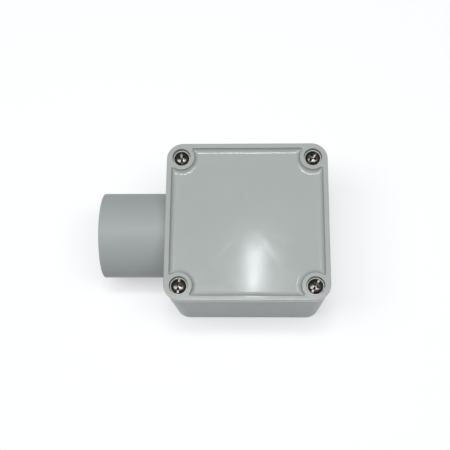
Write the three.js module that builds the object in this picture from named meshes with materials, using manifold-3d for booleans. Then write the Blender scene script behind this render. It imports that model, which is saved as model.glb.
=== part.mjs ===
// A square moulded connection box for a generator's supply cable: a screwed lid on a deep base, a socket for
// 50 mm conduit in one side wall, and a five-pole block of clamp terminals on the floor inside.
// Millimetres. The origin is the centre of the flat back, +Z points out through the lid, and the socket
// points to -X.
import * as THREE from "three";
import { mergeVertices } from "three/addons/utils/BufferGeometryUtils.js";
import Module from "manifold-3d";

const wasm = await Module();
wasm.setup();

// ---------------------------------------------------------------- driving dimensions

const GAP = 0.3; // clearance between pieces that slide or turn in each other
const SEAT = 0.1; // clearance under a piece that rests on another

const box = {
  height: 65.6, // back face to the rim that the lid closes
  halfBack: 49.4, // half width at the back
  halfRim: 51.2, // half width at the rim: the walls have draft
  cornerBack: 9.6,
  cornerRim: 8.7,
  floor: 3.5,
  edge: 0.8, // rounding round the back
  insideBack: 46.2, // half width of the inside, at the floor and at the rim
  insideRim: 47.8,
  pillarBack: 11.4, // radius of the corner pillars, at the floor and at the rim
  pillarRim: 10,
};

const lid = {
  half: 52,
  corner: 10.6,
  underside: 65.9,
  top: 69.5,
  edge: 0.6, // rounding of the outer top edge
  recessHalf: 48.8,
  recessFloor: 66.5,
  recessFillet: 3,
  bossRadius: 8.5, // round land about each screw, level with the rim
  plugHalf: 47.4, // the panel's underside drops inside the walls
  plugRound: 10.4,
  plugBottom: 64,
  footRadius: 6.95, // the feet under the screws sit in pockets in the pillars
  footBottom: 61.9,
};

const lidScrew = {
  pitch: 42.5, // half the distance between screws
  headRadius: 4.7,
  headHeight: 3.7,
  headEdge: 1.9,
  headCrown: 3.1,
  shankRadius: 2.35,
  length: 16,
  slotWidth: 1.2,
  slotDepth: 1.2,
  crossLength: 5.4,
  crossDepth: 2,
  tip: 0.7,
};
const counterbore = { radius: 5.85, floor: 64, hole: 2.8 };
// The cup washer: lip is the height of the wall round the screw's head, and cup is that wall's inner radius.
const seal = { inner: 2.6, outer: 5.45, thickness: 0.8, cup: 4.95, lip: 3 };
const pocket = { radius: 7.3, floor: 61.6 };
const screwBore = { radius: 2.9, bottom: 44.5 };
const core = { centre: 40.5, radius: 5.5, top: 41 }; // hollow up each pillar from the back
const insert = { radius: 3.5, length: 10, bore: 2.65, knurlDepth: 0.35, knurls: 10, collar: 1.5 };

const gasket = { half: 49.2, round: 8.65, width: 1.3, bottom: 64.4, top: 65.8 };
const groove = { width: 1.6, bottom: 64.3 };

const socket = {
  axisZ: 33.6,
  outer: 28.2,
  bore: 25.2, // takes a 50 mm conduit
  mouthX: -95.9,
  stopX: -52, // the conduit stops here
  stopBore: 22.5,
  wallHole: 28.5,
  flange: 29.6, // the flange that bears on the inside of the wall
  flangeX: -45.9,
  innerX: -43.9,
  chamfer: 1,
  segments: 56,
};

const poles = ["l1", "l2", "l3", "n", "e"];
const carrier = {
  x: -2,
  pitch: 13.6,
  barrier: 1.6,
  length: 32,
  bottom: 3.6,
  deck: 12,
  top: 32.5,
  sill: 1.3,
  sillLength: 1.6,
  earY: 39.5,
  earRadius: 4.6,
  earBottom: 10.2,
  earTop: 13.2,
};
const tunnel = { width: 11.4, height: 13, length: 28, side: 1.8, floor: 1.6, roof: 3.4 };
const clamp = { spacing: 14, radius: 3, length: 10, slotWidth: 1.1, slotDepth: 1.6, tip: 0.6 };
const pad = { width: 7, length: 10, thickness: 1.4 };

const fixing = { radius: 1.7, length: 9.5, headRadius: 3.6, headHeight: 2.4 };
const fixingBoss = { radius: 4.2, top: 10.1, boreRadius: 2, boreBottom: 2.2 };

const wallHole = { x: 33, y: 28, radius: 2.6, collarRadius: 5.2, collarTop: 4.2 };
const plug = { headRadius: 4.4, headHeight: 1.4, stemRadius: 2.3, bottom: 0.6 };

const colours = {
  shell: { color: 0xb4b8b4, roughness: 0.32, metalness: 0 },
  gasket: { color: 0x26282a, roughness: 0.8, metalness: 0 },
  nickel: { color: 0xb9b6ac, roughness: 0.28, metalness: 1 },
  nylon: { color: 0xd6d7d2, roughness: 0.5, metalness: 0 },
  brass: { color: 0xc9a04e, roughness: 0.35, metalness: 1 },
  steel: { color: 0xa8abad, roughness: 0.4, metalness: 1 },
  carrier: { color: 0x2b2d30, roughness: 0.5, metalness: 0 },
  rubber: { color: 0x33363a, roughness: 0.85, metalness: 0 },
};

// Corner directions, anticlockwise from +X +Y.
const quadrants = [
  [1, 1],
  [-1, 1],
  [-1, -1],
  [1, -1],
];
const corners = {
  top_left: [-1, 1],
  top_right: [1, 1],
  bottom_left: [-1, -1],
  bottom_right: [1, -1],
};
// The way each lid screw's slot points when it is tight, in degrees from +Y.
const slotTurn = { top_left: 6, top_right: -38, bottom_left: -5, bottom_right: -30 };

// ---------------------------------------------------------------- solids

// A closed three.js geometry as a manifold-3d solid.
function solidOf(geometry) {
  const bare = geometry.clone();
  bare.deleteAttribute("normal");
  bare.deleteAttribute("uv");
  const merged = mergeVertices(bare, 1e-4);
  const index = merged.index.array;
  const kept = [];
  for (let i = 0; i < index.length; i += 3) {
    const [a, b, c] = [index[i], index[i + 1], index[i + 2]];
    if (a !== b && b !== c && c !== a) kept.push(a, b, c);
  }
  const mesh = new wasm.Mesh({
    numProp: 3,
    vertProperties: merged.attributes.position.array,
    triVerts: new Uint32Array(kept),
  });
  return new wasm.Manifold(mesh);
}

// A manifold-3d solid as a three.js geometry.
function geometryOf(solid) {
  const mesh = solid.getMesh();
  const geometry = new THREE.BufferGeometry();
  geometry.setAttribute("position", new THREE.BufferAttribute(mesh.vertProperties, 3));
  geometry.setIndex(new THREE.BufferAttribute(mesh.triVerts, 1));
  geometry.computeVertexNormals();
  return geometry;
}

// A solid through closed outlines of equal point count, given from the lowest to the highest.
function loft(sections) {
  const count = sections[0].outline.length;
  const positions = sections.flatMap(({ z, outline }) => outline.flatMap((p) => [p.x, p.y, z]));
  const faces = [];
  for (let level = 0; level + 1 < sections.length; level++) {
    for (let i = 0; i < count; i++) {
      const a = level * count + i;
      const b = level * count + ((i + 1) % count);
      faces.push(a, b, b + count, a, b + count, a + count);
    }
  }
  const last = (sections.length - 1) * count;
  const bottomCap = THREE.ShapeUtils.triangulateShape(sections[0].outline, []);
  const topCap = THREE.ShapeUtils.triangulateShape(sections.at(-1).outline, []);
  bottomCap.forEach(([a, b, c]) => faces.push(c, b, a));
  topCap.forEach(([a, b, c]) => faces.push(last + a, last + b, last + c));
  const geometry = new THREE.BufferGeometry();
  geometry.setAttribute("position", new THREE.Float32BufferAttribute(positions, 3));
  geometry.setIndex(faces);
  return solidOf(geometry);
}

function prism(outline, bottom, top) {
  return loft([
    { z: bottom, outline },
    { z: top, outline },
  ]);
}

function block(x0, x1, y0, y1, z0, z1) {
  const geometry = new THREE.BoxGeometry(x1 - x0, y1 - y0, z1 - z0);
  geometry.translate((x0 + x1) / 2, (y0 + y1) / 2, (z0 + z1) / 2);
  return solidOf(geometry);
}

// A round bar standing on z0 at x, y.
function bar(radius, z0, z1, x = 0, y = 0, segments = 20) {
  const geometry = new THREE.CylinderGeometry(radius, radius, z1 - z0, segments);
  geometry.rotateX(Math.PI / 2);
  geometry.translate(x, y, (z0 + z1) / 2);
  return solidOf(geometry);
}

// A round bar along X, centred on the socket's axis.
function socketBar(radius, x0, x1, radiusAtStart = radius) {
  const geometry = new THREE.CylinderGeometry(radius, radiusAtStart, x1 - x0, socket.segments);
  geometry.rotateZ(-Math.PI / 2);
  geometry.translate((x0 + x1) / 2, 0, socket.axisZ);
  return solidOf(geometry);
}

// A turned solid about Z from [radius, z] points that run up the outside and end on the axis.
function turned(profile, segments = 16) {
  const points = profile.map(([radius, z]) => new THREE.Vector2(radius, z));
  const geometry = new THREE.LatheGeometry(points, segments);
  geometry.rotateX(Math.PI / 2);
  return solidOf(geometry);
}

// The outline of a square with round corners, anticlockwise, with the same point count for every size.
function roundedSquare(half, radius, steps = 5) {
  const shape = new THREE.Shape();
  const inner = half - radius;
  quadrants.forEach(([sx, sy], i) => {
    const from = (i * Math.PI) / 2;
    shape.absarc(sx * inner, sy * inner, radius, from, from + Math.PI / 2);
  });
  return shape.getPoints(steps);
}

// A square whose corners bend inwards round the screws: half is its half width and round is the arcs' radius.
function screwSquare(half, round, steps = 7) {
  const { pitch } = lidScrew;
  const reach = Math.acos((half - pitch) / round);
  const shape = new THREE.Shape();
  quadrants.forEach(([sx, sy], i) => {
    const quarter = (i * Math.PI) / 2;
    const clockwise = true;
    shape.absarc(sx * pitch, sy * pitch, round, quarter - reach, quarter + Math.PI / 2 + reach, clockwise);
  });
  return shape.getPoints(steps);
}

// ---------------------------------------------------------------- the base

function baseOutside() {
  const { height, halfBack, halfRim, cornerBack, cornerRim, edge } = box;
  return loft([
    { z: 0, outline: roundedSquare(halfBack - edge, cornerBack - edge) },
    { z: edge, outline: roundedSquare(halfBack, cornerBack) },
    { z: height, outline: roundedSquare(halfRim, cornerRim) },
  ]);
}

function baseInside() {
  const { height, floor, insideBack, insideRim, pillarBack, pillarRim } = box;
  return loft([
    { z: floor, outline: screwSquare(insideBack, pillarBack) },
    { z: height, outline: screwSquare(insideRim, pillarRim) },
    { z: height + 1, outline: screwSquare(insideRim, pillarRim) },
  ]);
}

// A band that follows the rim and passes inside the screws.
function rimBand(width, bottom, top) {
  const { half, round } = gasket;
  const outer = prism(screwSquare(half + width / 2, round - width / 2), bottom, top);
  const inner = prism(screwSquare(half - width / 2, round + width / 2), bottom - 1, top + 1);
  return outer.subtract(inner);
}

function makeBase() {
  const { pitch } = lidScrew;
  let inside = baseInside();
  for (const [sx, sy] of Object.values(corners)) {
    const collar = bar(wallHole.collarRadius, 0, wallHole.collarTop, sx * wallHole.x, sy * wallHole.y);
    inside = inside.subtract(collar);
  }
  for (const side of [-1, 1]) {
    inside = inside.subtract(bar(fixingBoss.radius, 0, fixingBoss.top, carrier.x, side * carrier.earY));
  }
  let base = baseOutside().subtract(inside);
  for (const [sx, sy] of Object.values(corners)) {
    const [x, y] = [sx * pitch, sy * pitch];
    base = base.subtract(bar(pocket.radius, pocket.floor, box.height + 1, x, y, 28));
    base = base.subtract(bar(insert.radius, pocket.floor - insert.length - SEAT, box.height, x, y));
    base = base.subtract(bar(screwBore.radius, screwBore.bottom, box.height, x, y, 20));
    base = base.subtract(bar(core.radius, -1, core.top, sx * core.centre, sy * core.centre));
    base = base.subtract(bar(wallHole.radius, -1, box.height, sx * wallHole.x, sy * wallHole.y, 20));
  }
  for (const side of [-1, 1]) {
    const { boreRadius, boreBottom, top } = fixingBoss;
    base = base.subtract(bar(boreRadius, boreBottom, top + 1, carrier.x, side * carrier.earY, 16));
  }
  const throughWall = socketBar(socket.wallHole, -box.halfRim - 1, -box.insideBack + 3);
  return base.subtract(throughWall).subtract(rimBand(groove.width, groove.bottom, box.height + 1));
}

function makeSocket() {
  const { mouthX, outer, flange, flangeX, innerX, stopX, stopBore, bore, chamfer } = socket;
  const nose = socketBar(outer, mouthX, mouthX + chamfer, outer - chamfer);
  const sleeve = socketBar(outer, mouthX + chamfer, innerX);
  return nose
    .add(sleeve)
    .add(socketBar(flange, flangeX, innerX))
    .subtract(socketBar(bore, mouthX - 1, stopX))
    .subtract(socketBar(stopBore, stopX - 1, innerX + 1));
}

function makeInsert() {
  const { radius, length, bore, knurlDepth, knurls, collar } = insert;
  const outer = radius - SEAT;
  let body = bar(outer, 0, length - SEAT);
  for (let i = 0; i < knurls; i++) {
    const angle = (i / knurls) * Math.PI * 2;
    const groove = new THREE.BoxGeometry(2 * knurlDepth, 2 * knurlDepth, length - 2 * collar);
    groove.rotateZ(Math.PI / 4);
    groove.translate(outer, 0, length / 2);
    groove.rotateZ(angle);
    body = body.subtract(solidOf(groove));
  }
  return body.subtract(bar(bore, -1, length + 1));
}

function makePlug() {
  const { headRadius, headHeight, stemRadius, bottom } = plug;
  const seat = wallHole.collarTop + SEAT;
  return turned([
    [0, bottom],
    [stemRadius - 0.5, bottom],
    [stemRadius, bottom + 1],
    [stemRadius, seat],
    [headRadius, seat],
    [headRadius, seat + headHeight - 0.5],
    [headRadius - 0.8, seat + headHeight],
    [0, seat + headHeight],
  ]);
}

// ---------------------------------------------------------------- the lid

function lidRecess() {
  const { recessHalf, bossRadius, recessFloor, recessFillet, top } = lid;
  const steps = 4;
  const sections = [];
  for (let i = 0; i <= steps; i++) {
    const angle = (i / steps) * (Math.PI / 2);
    const inset = recessFillet * (1 - Math.sin(angle));
    const outline = screwSquare(recessHalf - inset, bossRadius + inset);
    sections.push({ z: recessFloor + recessFillet * (1 - Math.cos(angle)), outline });
  }
  sections.push({ z: top + 1, outline: screwSquare(recessHalf, bossRadius) });
  return loft(sections);
}

function lidPlate() {
  const { half, corner, underside, top, edge } = lid;
  const sections = [{ z: underside, outline: roundedSquare(half, corner) }];
  const steps = 3;
  for (let i = 0; i <= steps; i++) {
    const angle = (i / steps) * (Math.PI / 2);
    const drop = edge * (1 - Math.cos(angle));
    sections.push({
      z: top - edge + edge * Math.sin(angle),
      outline: roundedSquare(half - drop, corner - drop),
    });
  }
  return loft(sections);
}

function makeLid() {
  const { plugHalf, plugRound, plugBottom, footBottom, footRadius, underside, recessFloor, top } = lid;
  const { pitch } = lidScrew;
  const panel = prism(screwSquare(plugHalf, plugRound), plugBottom, recessFloor);
  let body = lidPlate().add(panel).subtract(lidRecess());
  for (const [sx, sy] of Object.values(corners)) {
    const [x, y] = [sx * pitch, sy * pitch];
    body = body
      .add(bar(footRadius, footBottom, underside + 0.5, x, y, 28))
      .subtract(bar(counterbore.radius, counterbore.floor, top + 1, x, y, 28))
      .subtract(bar(counterbore.hole, footBottom - 1, top, x, y));
  }
  return body;
}

// A cup washer: its lip stands up round the screw's head.
function makeSeal() {
  const { inner, outer, thickness, cup, lip } = seal;
  return bar(outer, 0, lip, 0, 0, 24)
    .subtract(bar(cup, thickness, lip + 1, 0, 0, 24))
    .subtract(bar(inner, -1, lip + 1, 0, 0, 16));
}

// A pan-head screw with a slot and a cross recess. Its head seats on z = 0 and its slot runs along Y.
function makeLidScrew() {
  const { headRadius, headHeight, headEdge, headCrown, shankRadius, length, tip } = lidScrew;
  const { slotWidth, slotDepth, crossLength, crossDepth } = lidScrew;
  const body = turned([
    [0, -length],
    [shankRadius - tip, -length],
    [shankRadius, -length + tip],
    [shankRadius, 0],
    [headRadius, 0],
    [headRadius, headEdge],
    [headRadius - 0.5, headEdge + 0.9],
    [headRadius - 1.6, headCrown],
    [0, headHeight],
  ]);
  const wide = headRadius + 1;
  const [w, c] = [slotWidth / 2, crossLength / 2];
  return body
    .subtract(block(-w, w, -wide, wide, headHeight - slotDepth, headHeight + 1))
    .subtract(block(-w, w, -c, c, headHeight - crossDepth, headHeight + 1))
    .subtract(block(-c, c, -w, w, headHeight - crossDepth, headHeight + 1));
}

// ---------------------------------------------------------------- the terminal block

const poleY = (i) => (i - (poles.length - 1) / 2) * -carrier.pitch;
const tunnelBottom = carrier.deck + SEAT;
const tunnelRoofUnder = tunnelBottom + tunnel.height - tunnel.roof;

function makeCarrier() {
  const { x, pitch, barrier, length, bottom, deck, top, sill, sillLength } = carrier;
  const [x0, x1] = [x - length / 2, x + length / 2];
  const halfWidth = (poles.length * pitch + barrier) / 2;
  let body = block(x0, x1, -halfWidth, halfWidth, bottom, deck);
  for (let i = 0; i <= poles.length; i++) {
    const y = -halfWidth + barrier / 2 + i * pitch;
    body = body.add(block(x0, x1, y - barrier / 2, y + barrier / 2, deck - 1, top));
  }
  for (const [from, to] of [
    [x0, x0 + sillLength],
    [x1 - sillLength, x1],
  ]) {
    body = body.add(block(from, to, -halfWidth, halfWidth, deck - 1, deck + sill));
  }
  const { earY, earRadius, earBottom, earTop } = carrier;
  for (const side of [-1, 1]) {
    const arm = side * (halfWidth - 0.5);
    const [near, far] = [Math.min(arm, side * earY), Math.max(arm, side * earY)];
    body = body
      .add(bar(earRadius, earBottom, earTop, x, side * earY))
      .add(block(x - earRadius, x + earRadius, near, far, earBottom, earTop))
      .subtract(bar(fixing.radius + GAP, 0, top, x, side * earY, 20));
  }
  return body;
}

// A brass box that a conductor passes through, with two threaded holes in its thick roof.
function makeTunnel() {
  const { width, height, length, side, floor, roof } = tunnel;
  const [w, l] = [width / 2, length / 2];
  let body = block(-l, l, -w, w, 0, height);
  body = body.subtract(block(-l - 1, l + 1, -w + side, w - side, floor, height - roof));
  for (const end of [-1, 1]) {
    body = body.subtract(bar(clamp.radius, height - roof - 1, height + 1, (end * clamp.spacing) / 2, 0));
  }
  return body;
}

// A slotted grub screw whose foot is at z = 0.
function makeClampScrew() {
  const { radius, length, slotWidth, slotDepth, tip } = clamp;
  const r = radius - GAP;
  const body = turned(
    [
      [0, 0],
      [r - tip, 0],
      [r, tip],
      [r, length - 0.4],
      [r - 0.4, length],
      [0, length],
    ],
    14,
  );
  return body.subtract(
    block(-slotWidth / 2, slotWidth / 2, -radius, radius, length - slotDepth, length + 1),
  );
}

// The plate that a clamp screw presses on the conductor, dished a little along its length.
function makePad() {
  const { width, length, thickness } = pad;
  const shape = new THREE.Shape();
  shape.moveTo(-width / 2, 0.5);
  shape.quadraticCurveTo(0, -0.3, width / 2, 0.5);
  shape.lineTo(width / 2, thickness);
  shape.lineTo(-width / 2, thickness);
  const geometry = new THREE.ExtrudeGeometry(shape, {
    depth: length,
    bevelEnabled: false,
    curveSegments: 6,
  });
  geometry.translate(0, 0, -length / 2);
  geometry.rotateX(Math.PI / 2);
  geometry.rotateZ(Math.PI / 2);
  return solidOf(geometry);
}

// A small pan-head screw that holds the block down. Its head seats on z = 0.
function makeFixing() {
  const { radius, length, headRadius, headHeight } = fixing;
  const body = turned(
    [
      [0, -length],
      [radius, -length + 2.2],
      [radius, 0],
      [headRadius, 0],
      [headRadius, 1.1],
      [headRadius - 1, headHeight - 0.3],
      [0, headHeight],
    ],
    14,
  );
  const arm = 2.1;
  const half = 0.5;
  return body
    .subtract(block(-half, half, -arm, arm, headHeight - 1.4, headHeight + 1))
    .subtract(block(-arm, arm, -half, half, headHeight - 1.4, headHeight + 1));
}

// ---------------------------------------------------------------- the assembly

const root = new THREE.Group();
root.name = "generator_inlet_box";

function place(parent, name, geometry, finish, position = [0, 0, 0], turn = 0) {
  const mesh = new THREE.Mesh(geometry, new THREE.MeshStandardMaterial(colours[finish]));
  mesh.name = name;
  mesh.position.set(...position);
  mesh.rotation.z = THREE.MathUtils.degToRad(turn);
  parent.add(mesh);
  return mesh;
}

function buildBase() {
  const group = new THREE.Group();
  place(group, "box_base", geometryOf(makeBase()), "shell");
  place(group, "conduit_socket", geometryOf(makeSocket()), "shell");
  const gasketShape = geometryOf(rimBand(gasket.width, gasket.bottom, gasket.top));
  place(group, "lid_gasket", gasketShape, "gasket");
  const insertShape = geometryOf(makeInsert());
  const plugShape = geometryOf(makePlug());
  const insertZ = pocket.floor - insert.length;
  for (const [name, [sx, sy]] of Object.entries(corners)) {
    const { pitch } = lidScrew;
    place(group, `insert_${name}`, insertShape, "brass", [sx * pitch, sy * pitch, insertZ]);
    const position = [sx * wallHole.x, sy * wallHole.y, 0];
    place(group, `mounting_plug_${name}`, plugShape, "rubber", position);
  }
  return group;
}

function buildLid() {
  const group = new THREE.Group();
  place(group, "lid", geometryOf(makeLid()), "shell");
  const sealShape = geometryOf(makeSeal());
  const screwShape = geometryOf(makeLidScrew());
  const sealZ = counterbore.floor + SEAT;
  const headZ = sealZ + seal.thickness + SEAT;
  for (const [name, [sx, sy]] of Object.entries(corners)) {
    const [x, y] = [sx * lidScrew.pitch, sy * lidScrew.pitch];
    place(group, `screw_seal_${name}`, sealShape, "nylon", [x, y, sealZ]);
    place(group, `lid_screw_${name}`, screwShape, "nickel", [x, y, headZ], slotTurn[name]);
  }
  return group;
}

function buildTerminals() {
  const group = new THREE.Group();
  place(group, "terminal_carrier", geometryOf(makeCarrier()), "carrier");
  const fixingShape = geometryOf(makeFixing());
  const fixingZ = carrier.earTop + SEAT;
  place(group, "carrier_screw_top", fixingShape, "steel", [carrier.x, carrier.earY, fixingZ], 20);
  place(group, "carrier_screw_bottom", fixingShape, "steel", [carrier.x, -carrier.earY, fixingZ], 50);

  const tunnelShape = geometryOf(makeTunnel());
  const screwShape = geometryOf(makeClampScrew());
  const padShape = geometryOf(makePad());
  const padZ = tunnelRoofUnder - pad.thickness - SEAT;
  const screwZ = padZ + pad.thickness + SEAT;
  poles.forEach((pole, i) => {
    const y = poleY(i);
    place(group, `tunnel_${pole}`, tunnelShape, "brass", [carrier.x, y, tunnelBottom]);
    for (const [end, side] of [
      ["in", -1],
      ["out", 1],
    ]) {
      const x = carrier.x + (side * clamp.spacing) / 2;
      place(group, `pressure_pad_${pole}_${end}`, padShape, "steel", [x, y, padZ]);
      const turn = 35 * i + 50 * side;
      place(group, `clamp_screw_${pole}_${end}`, screwShape, "steel", [x, y, screwZ], turn);
    }
  });
  return group;
}

root.add(buildBase(), buildLid(), buildTerminals());

export default root;
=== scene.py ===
"""The looks of a square moulded connection box with a conduit socket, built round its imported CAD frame.

Metres, in the CAD frame: the box lies on its back at z = 0, the lid faces +Z and the socket points to -X.
"""

import math

import bmesh
import bpy
from mathutils import Matrix, Vector


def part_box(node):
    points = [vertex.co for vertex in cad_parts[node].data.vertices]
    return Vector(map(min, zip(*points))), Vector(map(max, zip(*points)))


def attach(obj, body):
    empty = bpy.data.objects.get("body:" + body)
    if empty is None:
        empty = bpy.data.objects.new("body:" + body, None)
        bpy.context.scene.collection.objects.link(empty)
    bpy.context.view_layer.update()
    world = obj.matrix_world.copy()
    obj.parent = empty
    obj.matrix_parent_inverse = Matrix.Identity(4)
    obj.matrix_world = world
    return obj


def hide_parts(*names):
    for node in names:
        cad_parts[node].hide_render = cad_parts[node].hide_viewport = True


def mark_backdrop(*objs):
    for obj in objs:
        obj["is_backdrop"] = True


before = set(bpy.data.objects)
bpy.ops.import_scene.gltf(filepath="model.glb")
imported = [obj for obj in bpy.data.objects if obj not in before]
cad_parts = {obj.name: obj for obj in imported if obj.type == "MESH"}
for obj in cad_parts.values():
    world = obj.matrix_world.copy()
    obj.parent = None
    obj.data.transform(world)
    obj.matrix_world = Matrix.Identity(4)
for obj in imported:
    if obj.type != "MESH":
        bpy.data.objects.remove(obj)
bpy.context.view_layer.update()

MM = 0.001
TAU = 2 * math.pi

CORNERS = {"top_left": (-1, 1), "top_right": (1, 1), "bottom_left": (-1, -1), "bottom_right": (1, -1)}
QUADRANTS = ((1, 1), (-1, 1), (-1, -1), (1, -1))
POLES = ("l1", "l2", "l3", "n", "e")
ENDS = ("in", "out")


def extent(node):
    """A CAD node's lowest and highest corners and its centre, in millimetres."""
    low, high = (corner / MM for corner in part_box(node))
    return low, high, (low + high) / 2


_, LID_HIGH, _ = extent("lid")
_, BASE_HIGH, _ = extent("box_base")
SOCKET_LOW, SOCKET_HIGH, SOCKET_MID = extent("conduit_socket")
PITCH = extent("lid_screw_top_right")[2].x  # half the distance between screws
RIM = LID_HIGH.z
PANEL = RIM - 3
LID_EDGE = BASE_HIGH.z + 0.3  # underside of the lid's rim
LID_HALF = LID_HIGH.x
FLOOR = 3.5  # top of the base's floor
EAR = 39.5  # distance from the middle of the terminal carrier to each of its fixing screws


# ---------------------------------------------------------------- mesh helpers


def mesh_piece(name, points, faces):
    """A new object from points in millimetres."""
    mesh = bpy.data.meshes.new(name)
    mesh.from_pydata([[c * MM for c in p] for p in points], [], faces)
    mesh.validate()
    piece = bpy.data.objects.new(name, mesh)
    bpy.context.scene.collection.objects.link(piece)
    return piece


def bridge(rings, looped):
    """Points and faces of a skin over rings of equal length, either closed at both ends or looped."""
    count = len(rings[0])
    points = [p for ring in rings for p in ring]
    faces = []
    spans = len(rings) if looped else len(rings) - 1
    for level in range(spans):
        a = level * count
        b = ((level + 1) % len(rings)) * count
        for i in range(count):
            j = (i + 1) % count
            faces.append((a + i, a + j, b + j, b + i))
    if not looped:
        faces.append(tuple(reversed(range(count))))
        faces.append(tuple(range(len(points) - count, len(points))))
    return points, faces


def loft(name, rings, looped=False):
    return mesh_piece(name, *bridge(rings, looped))


def circle(radius, z, x=0.0, y=0.0, segments=64):
    angles = [TAU * i / segments for i in range(segments)]
    return [(x + radius * math.cos(a), y + radius * math.sin(a), z) for a in angles]


def turned(name, profile, x=0.0, y=0.0, segments=64):
    """A turned solid about a line along Z, from (radius, z) points that run up its outside."""
    return loft(name, [circle(r, z, x, y, segments) for r, z in profile])


def turned_ring(name, profile, x=0.0, y=0.0, segments=64):
    """A turned solid with a hole, from a closed (radius, z) outline that runs anticlockwise."""
    return loft(name, [circle(r, z, x, y, segments) for r, z in profile], looped=True)


def arc(centre, radius, start, end, steps):
    """Points of an arc in a plane, with its angles in degrees."""
    angles = [math.radians(start + (end - start) * i / steps) for i in range(steps + 1)]
    return [(centre[0] + radius * math.cos(a), centre[1] + radius * math.sin(a)) for a in angles]


def apply_modifiers(piece):
    graph = bpy.context.evaluated_depsgraph_get()
    mesh = bpy.data.meshes.new_from_object(piece.evaluated_get(graph))
    piece.modifiers.clear()
    piece.data = mesh
    return piece


def boolean(piece, operation, tools):
    """Cuts or joins piece with tools, which are used up."""
    for tool in tools:
        step = piece.modifiers.new("cut", "BOOLEAN")
        step.operation = operation
        step.solver = "EXACT"
        step.object = tool
    apply_modifiers(piece)
    for tool in tools:
        bpy.data.objects.remove(tool)
    if len(piece.data.polygons) < 8:
        raise RuntimeError(f"nothing is left of {piece.name}")
    return piece


def join(name, pieces):
    """One object out of several that don't touch."""
    whole = bmesh.new()
    for piece in pieces:
        whole.from_mesh(piece.data)
        bpy.data.objects.remove(piece)
    mesh = bpy.data.meshes.new(name)
    whole.to_mesh(mesh)
    whole.free()
    joined = bpy.data.objects.new(name, mesh)
    bpy.context.scene.collection.objects.link(joined)
    return joined


def smooth(piece, sharp=40):
    """Smooth shading that keeps flat faces flat and edges over the given angle sharp."""
    mesh = piece.data
    for face in mesh.polygons:
        face.use_smooth = True
    mesh.set_sharp_from_angle(angle=math.radians(sharp))
    weighted = piece.modifiers.new("flat_faces", "WEIGHTED_NORMAL")
    weighted.mode = "FACE_AREA"
    weighted.keep_sharp = True
    weighted.weight = 60
    return piece


def bevel(piece, width, segments=3, angle=35):
    """Rounds the edges of a plain solid."""
    step = piece.modifiers.new("edges", "BEVEL")
    step.width = width * MM
    step.segments = segments
    step.limit_method = "ANGLE"
    step.angle_limit = math.radians(angle)
    step.use_clamp_overlap = True
    return apply_modifiers(piece)


def lay_along_socket(piece):
    """Turns a piece made about Z to lie about the socket's axis, with its top towards -X."""
    lift = Matrix.Translation((0, 0, SOCKET_MID.z * MM))
    piece.data.transform(lift @ Matrix.Rotation(-math.pi / 2, 4, "Y"))


def finish_piece(piece, body, material, node):
    """Gives a piece its material, hangs it on a body and hides the CAD node whose place it takes."""
    piece.data.materials.clear()
    piece.data.materials.append(material)
    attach(piece, body)
    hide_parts(node)
    return piece


# ---------------------------------------------------------------- outlines

SIDE_POINTS = 10
BEND_POINTS = 6
LAND_POINTS = 64
CORNER_POINTS = 2 * BEND_POINTS + LAND_POINTS


def square_ring(half, radius, z):
    """A square with round corners, anticlockwise."""
    ring = []
    inner = half - radius
    for k, (sx, sy) in enumerate(QUADRANTS):
        centre = (sx * inner, sy * inner)
        corner = arc(centre, radius, 90 * k, 90 * k + 90, CORNER_POINTS - 1)
        ring += with_side(ring, corner)
    return close_side(ring, z)


def screw_ring(half, radius, z, bend=1.0):
    """A square whose corners curve in round the screws, with a small bend where the curve meets a side."""
    ring = []
    reach = radius + bend
    off = half - bend - PITCH
    back = math.sqrt(reach * reach - off * off)
    turn = math.degrees(math.atan2(back, off))
    for k, (sx, sy) in enumerate(QUADRANTS):
        screw = Vector((sx * PITCH, sy * PITCH))
        spin = Matrix.Rotation(math.radians(90 * k), 2)
        first = screw + spin @ Vector((off, -back))
        second = screw + spin @ Vector((-back, off))
        corner = arc(first, bend, 90 * k, 90 * k + 180 - turn, BEND_POINTS - 1)
        corner += arc(screw, radius, 90 * k - turn, 90 * k - 270 + turn, LAND_POINTS + 1)[1:-1]
        corner += arc(second, bend, 90 * k - 90 + turn, 90 * k + 90, BEND_POINTS - 1)
        ring += with_side(ring, corner)
    return close_side(ring, z)


def between(a, b, count):
    """Points evenly spaced between a and b, without the ends."""
    return [
        (a[0] + (b[0] - a[0]) * i / (count + 1), a[1] + (b[1] - a[1]) * i / (count + 1))
        for i in range(1, count + 1)
    ]


def with_side(ring, corner):
    """A corner, after the side that leads to it from the last corner."""
    return (between(ring[-1], corner[0], SIDE_POINTS) if ring else []) + corner


def close_side(ring, z):
    """Closes a ring with its last side and lifts it to z."""
    ring = ring + between(ring[-1], ring[0], SIDE_POINTS)
    return [(x, y, z) for x, y in ring]


def scaled_ring(ring, share, z):
    return [(x * share, y * share, z) for x, y, _ in ring]


# ---------------------------------------------------------------- materials


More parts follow.
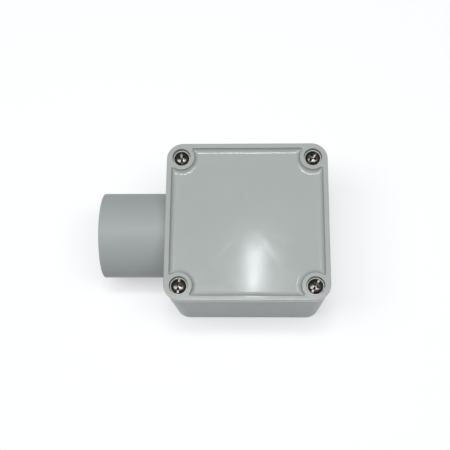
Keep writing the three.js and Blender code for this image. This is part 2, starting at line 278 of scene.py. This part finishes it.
class Nodes:
    """Short names for building a node tree."""

    def __init__(self, name):
        self.material = bpy.data.materials.new(name)
        self.material.use_nodes = True
        self.tree = self.material.node_tree
        self.shader = self.tree.nodes["Principled BSDF"]
        coordinates = self.add("ShaderNodeTexCoord")
        self.place = coordinates.outputs["Object"]

    def add(self, kind, **values):
        node = self.tree.nodes.new(kind)
        for key, value in values.items():
            if hasattr(node, key):
                setattr(node, key, value)
            else:
                node.inputs[key.replace("_", " ")].default_value = value
        return node

    def link(self, output, target):
        self.tree.links.new(output, target)

    def noise(self, scale, detail=3.0, roughness=0.5, stretch=(1, 1, 1)):
        """Noise in object space; scale is in features a metre."""
        mapping = self.add("ShaderNodeMapping")
        mapping.inputs["Scale"].default_value = stretch
        self.link(self.place, mapping.inputs["Vector"])
        texture = self.add("ShaderNodeTexNoise", Scale=scale, Detail=detail, Roughness=roughness)
        self.link(mapping.outputs["Vector"], texture.inputs["Vector"])
        return texture.outputs["Fac"]

    def ramp(self, source, low, high, start=0.35, end=0.65):
        """Colours between low and high as source goes from start to end."""
        ramp = self.add("ShaderNodeValToRGB")
        ramp.color_ramp.elements[0].position = start
        ramp.color_ramp.elements[0].color = (*low, 1)
        ramp.color_ramp.elements[1].position = end
        ramp.color_ramp.elements[1].color = (*high, 1)
        self.link(source, ramp.inputs["Fac"])
        return ramp.outputs["Color"]

    def span(self, source, low, high, start=0.3, end=0.7):
        """A number between low and high as source goes from start to end."""
        span = self.add("ShaderNodeMapRange", From_Min=start, From_Max=end, To_Min=low, To_Max=high)
        self.link(source, span.inputs["Value"])
        return span.outputs["Result"]

    def bump(self, source, strength, distance, under=None):
        bump = self.add("ShaderNodeBump", Strength=strength, Distance=distance)
        self.link(source, bump.inputs["Height"])
        if under is not None:
            self.link(under, bump.inputs["Normal"])
        return bump.outputs["Normal"]

    def drive(self, socket, output):
        """Feeds an output into one of the shader's sockets."""
        self.link(output, self.shader.inputs[socket])

    def set(self, **values):
        """Sets constants on the shader's sockets."""
        for key, value in values.items():
            self.shader.inputs[key.replace("_", " ")].default_value = value


def shades(colour, spread):
    """A colour a little darker and a little lighter."""
    return [c * (1 - spread) for c in colour], [min(1, c * (1 + spread)) for c in colour]


def moulded_plastic(name, colour, gloss, grain=0.0, spread=0.012, sheen=0.5):
    """Injection-moulded plastic: faint cloudiness, a slightly wavy skin and fine orange peel."""
    nodes = Nodes(name)
    nodes.drive("Base Color", nodes.ramp(nodes.noise(38, 4), *shades(colour, spread)))
    nodes.drive("Roughness", nodes.span(nodes.noise(120, 3), gloss - 0.015, gloss + 0.02))
    wavy = nodes.bump(nodes.noise(24, 1), 0.2, 0.0006)
    peel = nodes.bump(nodes.noise(900, 2), 0.05 + grain, 0.00005, wavy)
    nodes.drive("Normal", peel)
    nodes.set(IOR=1.52, Specular_IOR_Level=sheen)
    return nodes.material


def bright_metal(name, colour, gloss, spread=0.12, marks=0.25):
    """Plated or turned metal with fine tool marks and uneven dullness."""
    nodes = Nodes(name)
    nodes.drive("Base Color", nodes.ramp(nodes.noise(900, 4), *shades(colour, spread)))
    nodes.drive("Roughness", nodes.span(nodes.noise(1500, 5), gloss - 0.08, gloss + 0.14))
    lines = nodes.noise(2600, 2, stretch=(1, 1, 0.25))
    nodes.drive("Normal", nodes.bump(lines, marks, 0.00003))
    nodes.set(Metallic=1.0)
    return nodes.material


def soft_rubber(name, colour):
    """Matt rubber with a dusty bloom and a fine open skin."""
    nodes = Nodes(name)
    nodes.drive("Base Color", nodes.ramp(nodes.noise(160, 5), *shades(colour, 0.25)))
    nodes.drive("Roughness", nodes.span(nodes.noise(500, 3), 0.65, 0.9))
    nodes.drive("Normal", nodes.bump(nodes.noise(2200, 4), 0.35, 0.00008))
    return nodes.material


def nylon(name, colour):
    """Pale nylon that lets a little light in."""
    nodes = Nodes(name)
    nodes.drive("Base Color", nodes.ramp(nodes.noise(700, 3), *shades(colour, 0.05)))
    nodes.drive("Normal", nodes.bump(nodes.noise(1800, 3), 0.2, 0.00004))
    nodes.set(Roughness=0.42, Subsurface_Weight=0.15, Subsurface_Scale=0.002)
    return nodes.material


PVC = (0.33, 0.35, 0.335)
# the base's colour is the lid's PVC made darker: painted shade for its walls, which face away from the
# light
SHADED_BASE_PVC = (0.258, 0.277, 0.275)
# the socket's colour is the lid's PVC made darker: painted shade for its underside
SHADED_SOCKET_PVC = (0.292, 0.311, 0.305)
lid_plastic = moulded_plastic("lid_pvc", PVC, 0.11, sheen=0.3)
shaded_base_plastic = moulded_plastic("base_pvc_painted_shade", SHADED_BASE_PVC, 0.3, sheen=0.12)
shaded_socket_plastic = moulded_plastic("socket_pvc_painted_shade", SHADED_SOCKET_PVC, 0.45, sheen=0.15)
# the nickel is far darker than real plating: painted shade standing in for the dark surroundings that the
# screw heads reflect
dark_painted_nickel = bright_metal("nickel_plate_painted_dark", (0.135, 0.128, 0.115), 0.22)
brass = bright_metal("turned_brass", (0.72, 0.5, 0.2), 0.27)
terminal_brass = bright_metal("bright_brass", (0.76, 0.58, 0.28), 0.24, spread=0.05, marks=0.05)
zinc = bright_metal("zinc_plate", (0.5, 0.51, 0.53), 0.32)
clamp_steel = bright_metal("blued_steel", (0.4, 0.41, 0.44), 0.34, spread=0.08, marks=0.1)
gasket_rubber = soft_rubber("gasket_rubber", (0.022, 0.022, 0.024))
plug_rubber = soft_rubber("plug_rubber", (0.045, 0.047, 0.05))
washer_nylon = nylon("washer_nylon", (0.62, 0.63, 0.6))
carrier_plastic = moulded_plastic("carrier_thermoset", (0.03, 0.032, 0.036), 0.42, grain=0.2, spread=0.15)


# ---------------------------------------------------------------- the lid

LAND = 8.5  # radius of the round land about each screw
RECESS = 48.8  # half width of the recess at the rim


def lid_skin():
    """The lid's skin without its screw holes, from its underside round to the middle of its face."""
    corner = 10.6
    plug, plug_round, plug_low = 47.4, 10.4, 64.0  # the part that reaches down inside the base's walls
    rings = [
        screw_ring(plug - 0.4, plug_round + 0.4, plug_low),
        screw_ring(plug - 0.12, plug_round + 0.12, plug_low + 0.12),
        screw_ring(plug, plug_round, plug_low + 0.4),
        screw_ring(plug, plug_round, LID_EDGE),
        square_ring(LID_HALF - 0.35, corner - 0.35, LID_EDGE),
        square_ring(LID_HALF - 0.1, corner - 0.1, LID_EDGE + 0.1),
        square_ring(LID_HALF, corner, LID_EDGE + 0.35),
    ]
    edge = 0.7
    for out, up in arc((0, 0), edge, 0, 90, 7):
        rings.append(square_ring(LID_HALF - edge + out, corner - edge + out, RIM - edge + up))
    lip = 0.35
    for back, down in arc((0, 0), lip, 90, 180, 4):
        rings.append(screw_ring(RECESS + lip + back, LAND - lip - back, RIM - lip + down))
    fillet = 2.95
    for out, up in arc((0, 0), fillet, 0, -90, 9):
        inset = fillet - out
        rings.append(screw_ring(RECESS - inset, LAND + inset, PANEL + fillet + up))
    foot = rings[-1]
    hollow = 0.12  # the panel sinks a little in the middle
    for share in (0.985, 0.94, 0.86, 0.74, 0.6, 0.45, 0.3, 0.15, 0.05):
        rings.append(scaled_ring(foot, share, PANEL - hollow * (1 - share**2) ** 2))
    return rings


def make_lid():
    """The lid, with a foot under each screw and a counterbore from above."""
    lid = loft("lid_shell", lid_skin())
    foot_radius, foot_low, chamfer = 6.95, 61.9, 0.4
    foot = [(foot_radius - chamfer, foot_low), (foot_radius, foot_low + chamfer)]
    foot.append((foot_radius, LID_EDGE + 0.4))
    bore, well_radius, well_floor, bend = 2.8, 5.85, 64.0, 0.15
    well = [(bore, 60), (bore, well_floor), (well_radius - bend, well_floor)]
    well += [(well_radius, well_floor + bend), (well_radius, RIM + 2)]
    feet, wells = [], []
    for sx, sy in CORNERS.values():
        feet.append(turned("foot", foot, sx * PITCH, sy * PITCH, 72))
        wells.append(turned("well", well, sx * PITCH, sy * PITCH, 96))
    boolean(lid, "UNION", [join("feet", feet)])
    boolean(lid, "DIFFERENCE", [join("wells", wells)])
    smooth(lid, 50)
    return finish_piece(lid, "lid", lid_plastic, "lid")


# ---------------------------------------------------------------- the base


def base_skin():
    """The base's skin, from its back up the outside, over the rim and down to the floor inside."""
    half_back, half_rim = 49.4, BASE_HIGH.x
    corner_back, corner_rim = 9.6, half_rim - PITCH
    rim = BASE_HIGH.z
    rings = []
    edge = 1.0
    for out, up in arc((0, 0), edge, -90, 0, 5):
        rings.append(square_ring(half_back - edge + out, corner_back - edge + out, edge + up))
    step_in, step_down = 0.5, 1.3  # the shadow line under the lid
    rings.append(square_ring(half_rim, corner_rim, rim - step_down - 0.1))
    rings.append(square_ring(half_rim - 0.1, corner_rim - 0.1, rim - step_down))
    half_rim, corner_rim = half_rim - step_in, corner_rim - step_in
    rings.append(square_ring(half_rim, corner_rim, rim - step_down))
    lip = 0.3
    for out, up in arc((0, 0), lip, 0, 90, 3):
        rings.append(square_ring(half_rim - lip + out, corner_rim - lip + out, rim - lip + up))
    inside_back, inside_rim = 46.2, 47.8
    pillar_back, pillar_rim = 11.4, 10.0
    for back, down in arc((0, 0), lip, 90, 180, 3):
        rings.append(screw_ring(inside_rim + lip + back, pillar_rim - lip - back, rim - lip + down))
    fillet = 1.6
    for out, up in arc((0, 0), fillet, 0, -90, 5):
        inset = fillet - out
        rings.append(screw_ring(inside_back - inset, pillar_back + inset, FLOOR + fillet + up))
    return rings


SEAL_HALF = 49.2  # half width of the gasket's centre line
SEAL_ROUND = 8.65  # radius of its centre line round each screw
SEAL_BEND = 1.1  # and of the small bends between them


def groove_ring():
    """The groove that the gasket lies in, as a solid to cut away."""
    half, low, top = 0.8, 64.3, BASE_HIGH.z + 1
    rings = []
    for off, z in ((half, low), (half, top), (-half, top), (-half, low)):
        rings.append(screw_ring(SEAL_HALF + off, SEAL_ROUND - off, z, SEAL_BEND - off))
    return loft("groove", rings, looped=True)


def fixing_hole(corner):
    """The collar and the hole for one of the screws that hold the box to a wall."""
    middle = extent(f"mounting_plug_{corner}")[2]
    foot = [(6.1, FLOOR - 0.3), (6.1, FLOOR + 0.05), (5.5, FLOOR + 0.2), (5.2, FLOOR + 0.45)]
    face = [(5.0, FLOOR + 0.65), (4.8, FLOOR + 0.7)]
    radius, chamfer = 2.6, 0.3
    bore = [(radius + chamfer, -1), (radius + chamfer, 0), (radius, chamfer), (radius, 9)]
    collar = turned("collar", foot + face, middle.x, middle.y)
    hole = turned("fixing_hole", bore, middle.x, middle.y, 48)
    return collar, hole


def pillar_cuts(sx, sy):
    """The stepped pocket for a lid screw, its insert and the lid's foot, and the hollow behind it."""
    tip, bore, mouth, bend = 2.9, 3.5, 7.3, 0.2
    tip_low, bore_low, mouth_low = 44.5, 51.5, 61.6
    steps = [(tip, tip_low), (tip, bore_low), (bore, bore_low), (bore, mouth_low)]
    steps += [(mouth - bend, mouth_low), (mouth, mouth_low + bend), (mouth, BASE_HIGH.z + 1.4)]
    pocket = turned("pocket", steps, sx * PITCH, sy * PITCH, 72)
    place, depth, wide, narrow = 40.5, 41.0, 5.5, 5.3
    sides = [(wide + 0.4, -1), (wide + 0.4, 0), (wide, 0.4), (narrow, depth - 1)]
    sides += [(narrow - 0.3, depth - 0.3), (narrow - 1, depth)]
    core = turned("core", sides, sx * place, sy * place, 64)
    return pocket, core


def carrier_boss(side):
    """A boss on the floor and its bore, for one of the screws that hold the terminal carrier."""
    middle = extent("terminal_carrier")[2]
    x, y = middle.x, middle.y + side * EAR
    radius, top, bore = 4.2, 10.1, 2.0
    foot = [(radius + 1, FLOOR - 0.3), (radius + 1, FLOOR + 0.1), (radius + 0.3, FLOOR + 0.5)]
    sides = [(radius + 0.05, FLOOR + 1.3), (radius, top - 0.4), (radius - 0.4, top)]
    boss = turned("boss", foot + sides, x, y)
    pilot = [(bore, 2.2), (bore, top - 0.3), (bore + 0.4, top + 0.1), (bore + 0.4, top + 1.9)]
    return boss, turned("boss_bore", pilot, x, y, 32)


def make_base():
    """The base, with its wall holes, screw pillars, carrier bosses, gasket groove and the way in."""
    base = loft("base_shell", base_skin())
    added, cut = [], []
    for corner, (sx, sy) in CORNERS.items():
        collar, hole = fixing_hole(corner)
        added.append(collar)
        cut += [hole, *pillar_cuts(sx, sy)]
    for side in (-1, 1):
        boss, bore = carrier_boss(side)
        added.append(boss)
        cut.append(bore)
    through = turned("through", [(28.5, 43), (28.5, 54)], segments=160)
    lay_along_socket(through)
    boolean(base, "UNION", [join("bosses", added)])
    boolean(base, "DIFFERENCE", [join("bores", cut)])
    boolean(base, "DIFFERENCE", [through])
    boolean(base, "DIFFERENCE", [groove_ring()])
    smooth(base, 50)
    return finish_piece(base, "base", shaded_base_plastic, "box_base")


def make_gasket():
    """A sealing cord of D section that stands a little out of its groove."""
    half, low, high = 0.65, 64.4, 65.8
    section = [(-half, low), (half, low), *arc((0, high - half), half, 0, 180, 8)]
    rings = []
    for off, z in section:
        rings.append(screw_ring(SEAL_HALF + off, SEAL_ROUND - off, z, SEAL_BEND - off))
    gasket = loft("gasket_cord", rings, looped=True)
    smooth(gasket, 50)
    return finish_piece(gasket, "base", gasket_rubber, "lid_gasket")


def make_socket():
    """The plain conduit socket: a sleeve along X with a stop and a flange inside the wall."""
    mouth = -SOCKET_LOW.x
    inner = -SOCKET_HIGH.x
    stop, stop_bore, bore, outer, flange = 52.0, 22.5, 25.2, 28.2, 29.6
    neck = inner + 2
    lip, chamfer = 0.9, 0.4
    outline = [(bore + lip, mouth)]
    outline += [(bore + 0.3, mouth - 0.25), (bore + 0.05, mouth - lip), (bore - 0.12, stop + chamfer)]
    outline += [(bore - 0.5, stop), (stop_bore + chamfer, stop), (stop_bore, stop - chamfer)]
    outline += [(stop_bore, inner + chamfer), (stop_bore + chamfer, inner)]
    outline += [(flange - chamfer, inner), (flange, inner + chamfer)]
    outline += [(flange, neck - 0.2), (flange - 0.2, neck), (outer, neck), (outer, mouth - lip)]
    outline += arc((outer - lip, mouth - lip), lip, 12, 90, 5)
    socket = turned_ring("conduit_sleeve", list(reversed(outline)), segments=192)
    lay_along_socket(socket)
    smooth(socket, 50)
    return finish_piece(socket, "base", shaded_socket_plastic, "conduit_socket")


# ---------------------------------------------------------------- fasteners


def threaded(name, low, high, radius, depth, pitch, x, y, top=(), segments=40, point=0.7):
    """A rod with a real thread from low to high, then the plain (radius, z) rings of its top."""
    rows = max(8, round((high - low) / pitch * 8))
    rings = [circle(max(0.3, radius - depth - point), low, x, y, segments)]
    for row in range(rows + 1):
        z = low + 0.05 + (high - low - 0.1) * row / rows
        fade = min(1, (z - low) / point, (high - z) / point)
        ring = []
        for i in range(segments):
            phase = (z / pitch - i / segments) % 1
            groove = depth * abs(2 * phase - 1)
            r = radius - depth * (1 - fade) - groove * fade
            angle = TAU * i / segments
            ring.append((x + r * math.cos(angle), y + r * math.sin(angle), z))
        rings.append(ring)
    rings += [circle(r, z, x, y, segments) for r, z in top]
    return loft(name, rings)


def wedge(name, levels, x, y, turn):
    """A tapered bar across a screw head, from (width, length, z) levels, to cut a slot or a cross."""
    rings = []
    for width, length, z in levels:
        w, reach = width / 2, length / 2
        rings.append([(w, -reach, z), (w, reach, z), (-w, reach, z), (-w, -reach, z)])
    bar = loft(name, rings)
    place = Matrix.Translation((x * MM, y * MM, 0)) @ Matrix.Rotation(math.radians(turn), 4, "Z")
    bar.data.transform(place)
    return bar


SLOT_TURNS = {"top_left": 6, "top_right": -38, "bottom_left": -5, "bottom_right": -30}


def make_lid_screw(corner):
    """A pan-head screw with a slot and a cross recess."""
    node = f"lid_screw_{corner}"
    low, high, _ = extent(node)
    shank, radius = 16, 4.7
    seat = low.z + shank
    head = [(2.5, seat), (radius - 0.25, seat), (radius - 0.05, seat + 0.1), (radius, seat + 0.35)]
    head += [(radius, seat + 1.7), (radius - 0.12, seat + 2.15), (radius - 0.45, seat + 2.6)]
    head += [(radius - 1.0, seat + 3.0), (radius - 1.8, seat + 3.35), (radius - 2.9, seat + 3.6)]
    head += [(radius - 3.9, seat + 3.68), (0.2, high.z)]
    x, y = (c * PITCH for c in CORNERS[corner])
    neck = [(2.4, seat - 0.9)]
    screw = threaded(f"pan_screw_{corner}", low.z, seat - 1.2, 2.4, 0.35, 0.8, x, y, neck + head, 56)
    turn = SLOT_TURNS[corner]
    top = high.z + 0.4
    slot = wedge("slot", [(1.17, 12, high.z - 1.25), (1.31, 12, top)], x, y, turn)
    arms = [(0.9, 0.8, high.z - 2.2), (1.36, 5.4, high.z - 1.37), (1.56, 5.8, top + 0.1)]
    along = wedge("along", arms, x, y, turn + 0.2)
    across = wedge("across", arms, x, y, turn + 90.3)
    middle = [(0.8, 0.8, high.z - 2.3), (1.9, 1.9, high.z - 1.3), (2.1, 2.1, top + 0.2)]
    heart = wedge("heart", middle, x, y, turn + 45.1)
    for tool in (heart, across, along, slot):
        boolean(screw, "DIFFERENCE", [tool])
    smooth(screw, 32)
    return finish_piece(screw, f"screw_{corner}", dark_painted_nickel, node)


def make_washer(corner):
    """A cup washer whose lip stands up round the screw's head."""
    node = f"screw_seal_{corner}"
    low, high, _ = extent(node)
    x, y = (c * PITCH for c in CORNERS[corner])
    outer, cup, bore, edge = 5.45, 4.95, 2.6, 0.15
    floor = low.z + 0.8
    outline = [(bore, low.z), (outer - edge, low.z), (outer, low.z + edge), (outer, high.z - edge)]
    outline += [(outer - edge, high.z), (cup + edge, high.z), (cup, high.z - edge), (cup, floor + edge)]
    outline += [(cup - edge, floor), (bore + edge, floor), (bore, floor - edge)]
    washer = turned_ring(f"washer_{corner}", outline, x, y, 80)
    smooth(washer, 50)
    return finish_piece(washer, f"seal_{corner}", washer_nylon, node)


def make_insert(corner):
    """A threaded insert with a knurled outside and a plain neck."""
    node = f"insert_{corner}"
    low, high, _ = extent(node)
    x, y = (c * PITCH for c in CORNERS[corner])
    outer, bore, knurls = 3.4, 2.65, 24
    middle = (low.z + high.z) / 2
    # each level is a height, how far it lies in from the outside, and whether it is knurled
    levels = [(low.z, 0.35, 0), (low.z + 0.35, 0, 0), (low.z + 0.9, 0, 0), (low.z + 1.1, 0, 1)]
    levels += [(middle - 0.5, 0, 1), (middle - 0.35, 0.3, 0)]
    levels += [(middle + 0.35, 0.3, 0), (middle + 0.5, 0, 1)]
    levels += [(high.z - 1.1, 0, 1), (high.z - 0.9, 0, 0), (high.z - 0.25, 0, 0), (high.z, 0.25, 0)]
    count = knurls * 4
    rings = []
    for z, inset, knurl in levels:
        twist = 0.35 * (z - low.z) / outer
        ring = []
        for i in range(count):
            groove = 0.28 * knurl * abs(2 * ((i / 4) % 1) - 1)
            angle = TAU * i / count + twist * (1 if z < middle else 0.6)
            r = outer - inset - groove
            ring.append((x + r * math.cos(angle), y + r * math.sin(angle), z))
        rings.append(ring)
    rings += [circle(bore + 0.25, high.z, x, y, count), circle(bore, high.z - 0.25, x, y, count)]
    rings += [circle(bore, low.z + 0.2, x, y, count), circle(bore + 0.2, low.z, x, y, count)]
    piece = loft(f"threaded_insert_{corner}", rings, looped=True)
    smooth(piece, 30)
    return finish_piece(piece, "base", brass, node)


def make_plug(corner):
    """A push-in rubber plug with a domed head."""
    node = f"mounting_plug_{corner}"
    low, high, mid = extent(node)
    seat = high.z - 1.4
    outline = [(1.4, low.z), (1.8, low.z), (2.3, low.z + 0.9), (2.3, seat), (4.2, seat), (4.4, seat + 0.2)]
    outline += [(4.4, seat + 0.6), (4.2, seat + 0.9), (3.6, seat + 1.2), (2.4, high.z)]
    outline += [(2.0, high.z), (1.7, high.z - 0.25), (0.3, high.z - 0.35)]
    plug = turned(f"rubber_plug_{corner}", outline, mid.x, mid.y, 64)
    smooth(plug, 45)
    return finish_piece(plug, "base", plug_rubber, node)


# ---------------------------------------------------------------- the terminal block


def slab(name, low, high):
    """A plain block between two corners."""
    x0, y0, z0 = low
    x1, y1, z1 = high
    return loft(name, [[(x0, y0, z), (x1, y0, z), (x1, y1, z), (x0, y1, z)] for z in (z0, z1)])


def make_carrier():
    """The moulded carrier: a deck on a solid foot, barriers between the poles and two fixing ears."""
    low, high, mid = extent("terminal_carrier")
    pitch, barrier, deck, sill = 13.6, 1.6, 12.0, 1.6
    ear_radius, ear_low, ear_high = 4.6, 10.2, 13.2
    half = (len(POLES) * pitch + barrier) / 2
    carrier = slab("carrier_block", (low.x, -half, low.z), (high.x, half, deck))
    added = []
    for i in range(len(POLES) + 1):
        y = -half + barrier / 2 + i * pitch
        added.append(slab("barrier", (low.x, y - barrier / 2, deck - 1), (high.x, y + barrier / 2, high.z)))
    for x in (low.x, high.x - sill):
        added.append(slab("sill", (x, -half + 0.01, deck - 1.01), (x + sill, half - 0.01, deck + 1.3)))
    for side in (-1, 1):
        near, far = sorted((side * (half - 0.5), side * EAR))
        added.append(slab("arm", (mid.x - ear_radius, near, ear_low), (mid.x + ear_radius, far, ear_high)))
        added.append(turned("ear", [(ear_radius, ear_low), (ear_radius, ear_high)], mid.x, side * EAR, 48))
    boolean(carrier, "UNION", added)
    holes = [turned("hole", [(2.0, 5), (2.0, 20)], mid.x, side * EAR, 32) for side in (-1, 1)]
    boolean(carrier, "DIFFERENCE", holes)
    bevel(carrier, 0.22, 2)
    smooth(carrier, 40)
    return finish_piece(carrier, "base", carrier_plastic, "terminal_carrier")


def make_tunnel(pole):
    """A brass clamp body: a box for the conductor with two threaded holes in its roof."""
    node = f"tunnel_{pole}"
    low, high, mid = extent(node)
    tunnel = slab(f"clamp_body_{pole}", low, high)
    side_wall, sole, roof, screw_place = 1.8, 1.6, 3.4, 7
    way_low = (low.x - 1, low.y + side_wall, low.z + sole)
    way_high = (high.x + 1, high.y - side_wall, high.z - roof)
    bore = [(3.0, high.z - 5), (3.0, high.z - 0.3), (3.35, high.z + 0.05), (3.35, high.z + 1)]
    cut = [slab("way", way_low, way_high)]
    for side in (-1, 1):
        cut.append(turned("bore", bore, mid.x + side * screw_place, mid.y, 48))
    boolean(tunnel, "DIFFERENCE", cut)
    bevel(tunnel, 0.2, 2, 50)
    smooth(tunnel, 40)
    return finish_piece(tunnel, "base", terminal_brass, node)


def make_clamp_screw(pole, end, turn):
    """A slotted set screw with a full thread."""
    node = f"clamp_screw_{pole}_{end}"
    low, high, mid = extent(node)
    top = [(2.35, high.z - 0.25), (2.0, high.z), (0.2, high.z)]
    name = f"set_screw_{pole}_{end}"
    screw = threaded(name, low.z, high.z - 0.3, 2.68, 0.4, 1.0, mid.x, mid.y, top, 44, 0.5)
    slot = wedge("slot", [(1.1, 9, high.z - 1.6), (1.15, 9, high.z + 0.5)], mid.x, mid.y, turn)
    boolean(screw, "DIFFERENCE", [slot])
    smooth(screw, 32)
    return finish_piece(screw, f"clamp_{pole}_{end}", clamp_steel, node)


def make_pad(pole, end):
    """The pressed plate under a clamp screw, bowed a little and grooved across to grip the conductor."""
    node = f"pressure_pad_{pole}_{end}"
    low, high, mid = extent(node)
    half = (high.y - low.y) / 2
    steps, across, bow, groove, edge = 40, 12, 0.35, 0.1, 0.15
    sections = []
    for i in range(steps + 1):
        x = low.x + (high.x - low.x) * i / steps
        tooth = groove * abs(2 * ((i / 5) % 1) - 1)
        section = []
        for k in range(across + 1):
            share = -1 + 2 * k / across
            rise = bow * share**2 + tooth * (1 - share**4)
            section.append((x, mid.y + half * share, low.z + rise))
        section += [(x, mid.y + half, high.z - edge), (x, mid.y + half - edge, high.z)]
        section += [(x, mid.y - half + edge, high.z), (x, mid.y - half, high.z - edge)]
        sections.append(section)
    pad = loft(f"pressure_plate_{pole}_{end}", sections)
    smooth(pad, 35)
    return finish_piece(pad, f"pad_{pole}_{end}", zinc, node)


def make_carrier_screw(side, turn):
    """A small self-tapping screw that holds the carrier."""
    node = f"carrier_screw_{side}"
    low, high, mid = extent(node)
    seat = high.z - 2.4
    head = [(1.7, seat), (3.4, seat), (3.6, seat + 0.2), (3.6, seat + 1.0), (3.4, seat + 1.5)]
    head += [(2.8, seat + 2.0), (1.8, seat + 2.3), (0.2, high.z)]
    name = f"tapping_screw_{side}"
    screw = threaded(name, low.z, seat - 0.4, 1.7, 0.4, 1.2, mid.x, mid.y, head, 40, 1.1)
    levels = [(0.6, 2.4, high.z - 1.5), (1.15, 4.2, high.z + 0.4)]
    bars = [wedge("arm", levels, mid.x, mid.y, turn + 90 * k) for k in (0, 1)]
    boolean(screw, "DIFFERENCE", bars)
    smooth(screw, 32)
    return finish_piece(screw, "base", zinc, node)


def make_terminals():
    make_carrier()
    make_carrier_screw("top", 20)
    make_carrier_screw("bottom", 50)
    for i, pole in enumerate(POLES):
        make_tunnel(pole)
        for end, side in zip(ENDS, (-1, 1)):
            make_pad(pole, end)
            make_clamp_screw(pole, end, 35 * i + 50 * side)


# ---------------------------------------------------------------- stage, light and camera


def make_floor():
    """A plain white floor that reaches to the horizon and glows enough to look white all over."""
    reach, low = 90000, -0.02
    corners = [(-reach, -reach, low), (reach, -reach, low), (reach, reach, low), (-reach, reach, low)]
    floor = mesh_piece("floor", corners, [(0, 1, 2, 3)])
    nodes = Nodes("floor_white")
    nodes.set(Roughness=0.9, Base_Color=(0.44, 0.447, 0.46, 1))
    nodes.set(Emission_Color=(1, 1, 1, 1), Emission_Strength=0.46)
    floor.data.materials.append(nodes.material)
    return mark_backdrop(floor)


def aim(thing, place, target, up=(0, 1, 0)):
    """Puts thing at place, looking at target, with up upwards in its picture."""
    back = (Vector(place) - Vector(target)).normalized()
    right = Vector(up).cross(back).normalized()
    turn = Matrix((right, back.cross(right), back)).transposed().to_4x4()
    thing.matrix_world = Matrix.Translation(place) @ turn


def area_light(name, place, target, size, power, colour=(1, 1, 1)):
    data = bpy.data.lights.new(name, "AREA")
    data.shape = "RECTANGLE"
    data.size, data.size_y = size
    data.energy = power
    data.color = colour
    light = bpy.data.objects.new(name, data)
    bpy.context.scene.collection.objects.link(light)
    aim(light, place, target)
    return light


def make_lights():
    world = bpy.data.worlds.new("studio")
    world.use_nodes = True
    background = world.node_tree.nodes["Background"]
    background.inputs["Color"].default_value = (0.85, 0.93, 1.0, 1)
    background.inputs["Strength"].default_value = 0.18
    bpy.context.scene.world = world
    middle = (0, 0, 0.06)
    area_light("key", (-0.1, -0.12, 1.55), middle, (2.4, 0.6), 27)
    area_light("strip", (-0.02, 0.14, 1.55), middle, (0.38, 0.15), 5)
    area_light("lamp", (0.005, 0.219, 1.04), middle, (0.01, 0.09), 0.28, (0.9, 0.94, 1.0))


def make_camera():
    data = bpy.data.cameras.new("camera")
    data.sensor_width = 36
    data.lens = 68.1
    camera = bpy.data.objects.new("camera", data)
    bpy.context.scene.collection.objects.link(camera)
    roll = (-0.0087, 1, 0)
    aim(camera, (0.0047, -0.1601, 0.5834), (-0.0151, 0.0070, 0.035), roll)
    bpy.context.scene.camera = camera


make_camera()
make_floor()
make_lights()
make_lid()
make_base()
make_gasket()
make_socket()
for corner_name in CORNERS:
    make_lid_screw(corner_name)
    make_washer(corner_name)
    make_insert(corner_name)
    make_plug(corner_name)
make_terminals()

bpy.context.scene.view_settings.view_transform = "Standard"
